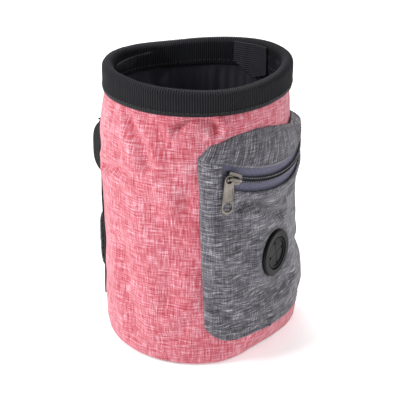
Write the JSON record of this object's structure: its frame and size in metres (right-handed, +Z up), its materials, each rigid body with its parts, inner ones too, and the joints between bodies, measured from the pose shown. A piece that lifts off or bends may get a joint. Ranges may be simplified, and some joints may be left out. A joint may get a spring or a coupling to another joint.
{
  "type": "treat pouch",
  "caption": "round fabric treat pouch with a stiff open mouth, a zipped front pocket with a slit rubber bag outlet, and a belt sleeve and belt clip on the back",
  "frame": {"origin": "the middle of the base, on the surface that the pouch stands on", "axes": "+Z up through the mouth, -Y out of the front pocket, +X to the wearer's left when the clip is on a belt in front"},
  "size_m": [0.1232, 0.1337, 0.176],
  "materials": {
    "shell_fabric": "coral slub melange weave",
    "grey_fabric": "grey slub melange weave",
    "lining_nylon": "glossy coated nylon",
    "rib_webbing": "ribbed grosgrain",
    "black_binding": "woven binding",
    "back_fabric": "plain woven polyester",
    "zip_tape": "twill zip tape",
    "zip_coil": "nylon coil",
    "nickel": "satin nickel plate",
    "outlet_rubber": "satin moulded rubber",
    "clip_plastic": "fine textured moulding",
    "rivet_steel": "plain",
    "board_plastic": "sheet"
  },
  "bodies": {
    "pouch": {"outer_shell": "shell_fabric", "inner_lining": "lining_nylon", "base_piping": "black_binding", "base_panel": "grey_fabric", "base_board": "board_plastic", "rim_band": "rib_webbing", "rim_hoop": "board_plastic", "rim_band_tail": "rib_webbing", "pocket_panel": "grey_fabric", "pocket_top_panel": "grey_fabric", "zipper_tape_upper": "zip_tape", "zipper_tape_lower": "zip_tape", "zipper_coil_upper": "zip_coil", "zipper_coil_lower": "zip_coil", "outlet_ring": "outlet_rubber", "back_patch": "back_fabric", "belt_sleeve": "grey_fabric", "belt_clip_base": "clip_plastic", "clip_rivets": "rivet_steel"},
    "slider": {"zipper_slider": "nickel"},
    "pull": {"zipper_pull": "nickel"},
    "flap_1": {"outlet_petal_1": "outlet_rubber"},
    "flap_2": {"outlet_petal_2": "outlet_rubber"},
    "flap_3": {"outlet_petal_3": "outlet_rubber"},
    "flap_4": {"outlet_petal_4": "outlet_rubber"},
    "clip": {"belt_clip_tongue": "clip_plastic"}
  },
  "joints": [
    {"name": "slider_travel", "type": "hinge", "parent": "pouch", "child": "slider", "pos_m": [0, -0.00067, 0.1541], "axis": [0, -0.5623, 0.8269], "range_deg": [0, 72]},
    {"name": "pull_swing", "type": "hinge", "parent": "slider", "child": "pull", "pos_m": [-0.04398, -0.04667, 0.12476], "axis": [-0.503, -0.8643, 0], "range_deg": [-150, 25]},
    {"name": "outlet_flap_1", "type": "hinge", "parent": "pouch", "child": "flap_1", "pos_m": [-0.00545, -0.0583, 0.0715], "axis": [-0.8387, 0, 0.5446], "range_deg": [0, 50], "stiffness_Nm_per_rad": 0.002},
    {"name": "outlet_flap_2", "type": "hinge", "parent": "pouch", "child": "flap_2", "pos_m": [-0.0132, -0.0583, 0.06985], "axis": [-0.5446, 0, -0.8387], "range_deg": [0, 50], "stiffness_Nm_per_rad": 0.002},
    {"name": "outlet_flap_3", "type": "hinge", "parent": "pouch", "child": "flap_3", "pos_m": [-0.01155, -0.0583, 0.0621], "axis": [0.8387, 0, -0.5446], "range_deg": [0, 50], "stiffness_Nm_per_rad": 0.002},
    {"name": "outlet_flap_4", "type": "hinge", "parent": "pouch", "child": "flap_4", "pos_m": [-0.0038, -0.0583, 0.06375], "axis": [0.5446, 0, 0.8387], "range_deg": [0, 50], "stiffness_Nm_per_rad": 0.002},
    {"name": "clip_flex", "type": "hinge", "parent": "pouch", "child": "clip", "pos_m": [0, 0.0664, 0.128], "axis": [1, 0, 0], "range_deg": [0, 9], "stiffness_Nm_per_rad": 1.5}
  ],
  "couplings": [
    {"joint": "outlet_flap_2", "follows": "outlet_flap_1", "ratio": 1},
    {"joint": "outlet_flap_3", "follows": "outlet_flap_1", "ratio": 1},
    {"joint": "outlet_flap_4", "follows": "outlet_flap_1", "ratio": 1}
  ]
}
